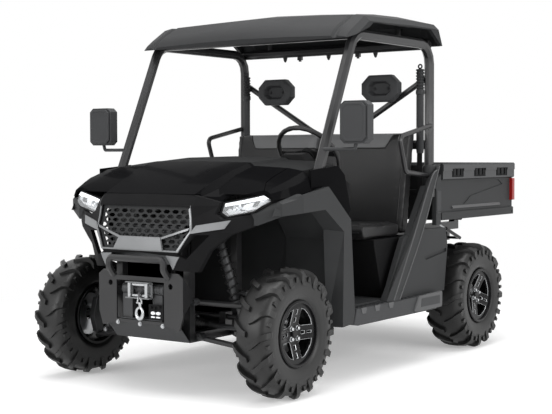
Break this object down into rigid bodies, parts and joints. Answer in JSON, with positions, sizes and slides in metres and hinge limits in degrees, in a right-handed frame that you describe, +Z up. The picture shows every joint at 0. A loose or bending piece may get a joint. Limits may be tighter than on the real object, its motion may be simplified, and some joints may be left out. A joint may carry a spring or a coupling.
{
  "type": "side by side utility vehicle",
  "caption": "Open two-seat utility vehicle with roll cage, roof, steered front wheels, winch and a tipping cargo bed with a drop tailgate.",
  "frame": {"origin": "on the ground under the middle of the vehicle's length and width", "axes": "+X forward, +Y to the vehicle's left, +Z up"},
  "size_m": [2.88, 1.86, 1.9615],
  "materials": {
    "frame_steel": "satin black powder coat",
    "cast_metal": "dark cast metal",
    "moulded_plastic": "grained black plastic",
    "gloss_paint": "gloss black",
    "satin_trim": "satin grey",
    "seat_vinyl": "grained vinyl",
    "tyre_rubber": "matte rubber",
    "rim_alloy": "black with machined edges",
    "lamp_lens": "clear lens over bright reflector",
    "shock_steel": "satin",
    "bright_steel": "polished rod",
    "radiator_metal": "dark finned core"
  },
  "bodies": {
    "chassis": {"cowl": "moulded_plastic", "dash": "moulded_plastic", "drive_shafts": "frame_steel", "engine": "cast_metal", "fascia": "moulded_plastic", "fenders": "gloss_paint", "flares": "moulded_plastic", "floor": "moulded_plastic", "frame": "frame_steel", "front_arms": "frame_steel", "front_bumper": "frame_steel", "grille": "moulded_plastic", "headlamps": "lamp_lens", "headrests": "seat_vinyl", "hood": "gloss_paint", "mirrors": "frame_steel", "muffler": "cast_metal", "nose_trim": "satin_trim", "radiator": "radiator_metal", "rear_arms": "frame_steel", "rear_hubs": "cast_metal", "roll_cage": "frame_steel", "roof": "moulded_plastic", "seat_backs": "seat_vinyl", "seat_base": "moulded_plastic", "seat_belts": "frame_steel", "seat_cushion": "seat_vinyl", "shocks": "shock_steel", "side_panels": "moulded_plastic", "sills": "moulded_plastic", "skid_plate": "moulded_plastic", "winch": "cast_metal"},
    "knuckle_left": {"knuckle_left": "cast_metal"},
    "knuckle_right": {"knuckle_right": "cast_metal"},
    "wheel_front_left": {"tyre_front_left": "tyre_rubber", "rim_front_left": "rim_alloy"},
    "wheel_front_right": {"tyre_front_right": "tyre_rubber", "rim_front_right": "rim_alloy"},
    "wheel_rear_left": {"tyre_rear_left": "tyre_rubber", "rim_rear_left": "rim_alloy"},
    "wheel_rear_right": {"tyre_rear_right": "tyre_rubber", "rim_rear_right": "rim_alloy"},
    "steering_wheel": {"steering_wheel": "moulded_plastic"},
    "steering_rack": {"steering_rack": "frame_steel"},
    "bed": {"bed": "moulded_plastic", "tail_lamps": "lamp_lens"},
    "tailgate": {"tailgate": "moulded_plastic"},
    "strut_barrel": {"strut_barrel": "shock_steel"},
    "strut_rod": {"strut_rod": "bright_steel"}
  },
  "joints": [
    {"name": "steer_left", "type": "hinge", "parent": "chassis", "child": "knuckle_left", "pos_m": [1.09, 0.577, 0.318], "axis": [0, 0, 1], "range_deg": [-30, 30]},
    {"name": "steer_right", "type": "hinge", "parent": "chassis", "child": "knuckle_right", "pos_m": [1.09, -0.577, 0.318], "axis": [0, 0, 1], "range_deg": [-30, 30]},
    {"name": "front_left_spin", "type": "hinge", "parent": "knuckle_left", "child": "wheel_front_left", "pos_m": [1.09, 0.657, 0.318], "axis": [0, 1, 0], "continuous": true},
    {"name": "front_right_spin", "type": "hinge", "parent": "knuckle_right", "child": "wheel_front_right", "pos_m": [1.09, -0.657, 0.318], "axis": [0, 1, 0], "continuous": true},
    {"name": "rear_left_spin", "type": "hinge", "parent": "chassis", "child": "wheel_rear_left", "pos_m": [-0.86, 0.657, 0.318], "axis": [0, 1, 0], "continuous": true},
    {"name": "rear_right_spin", "type": "hinge", "parent": "chassis", "child": "wheel_rear_right", "pos_m": [-0.86, -0.657, 0.318], "axis": [0, 1, 0], "continuous": true},
    {"name": "steering_wheel_turn", "type": "hinge", "parent": "chassis", "child": "steering_wheel", "pos_m": [0.44, 0.36, 1.18], "axis": [-0.766, 0, 0.6428], "range_deg": [-270, 270]},
    {"name": "rack_slide", "type": "slide", "parent": "chassis", "child": "steering_rack", "axis": [0, 1, 0], "range_m": [-0.0505, 0.0505]},
    {"name": "bed_tilt", "type": "hinge", "parent": "chassis", "child": "bed", "pos_m": [-1.28, 0, 0.765], "axis": [0, -1, 0], "range_deg": [0, 45]},
    {"name": "tailgate_drop", "type": "hinge", "parent": "bed", "child": "tailgate", "pos_m": [-1.424, 0, 0.8057], "axis": [0, -1, 0], "range_deg": [0, 90]},
    {"name": "strut_pivot", "type": "hinge", "parent": "chassis", "child": "strut_barrel", "pos_m": [-1.16, 0.45, 0.64], "axis": [0, -1, 0], "range_deg": [0, 45.94]},
    {"name": "strut_extend", "type": "slide", "parent": "strut_barrel", "child": "strut_rod", "axis": [0.9417, 0, 0.3363], "range_m": [0, 0.1336]}
  ],
  "couplings": [
    {"joint": "steer_right", "follows": "steer_left", "ratio": 1},
    {"joint": "steering_wheel_turn", "follows": "steer_left", "ratio": 9},
    {"joint": "rack_slide", "follows": "steer_left", "m_per_rad": -0.095493},
    {"joint": "strut_pivot", "follows": "bed_tilt", "ratio": 1.0098},
    {"joint": "strut_extend", "follows": "bed_tilt", "m_per_rad": 0.16881}
  ]
}
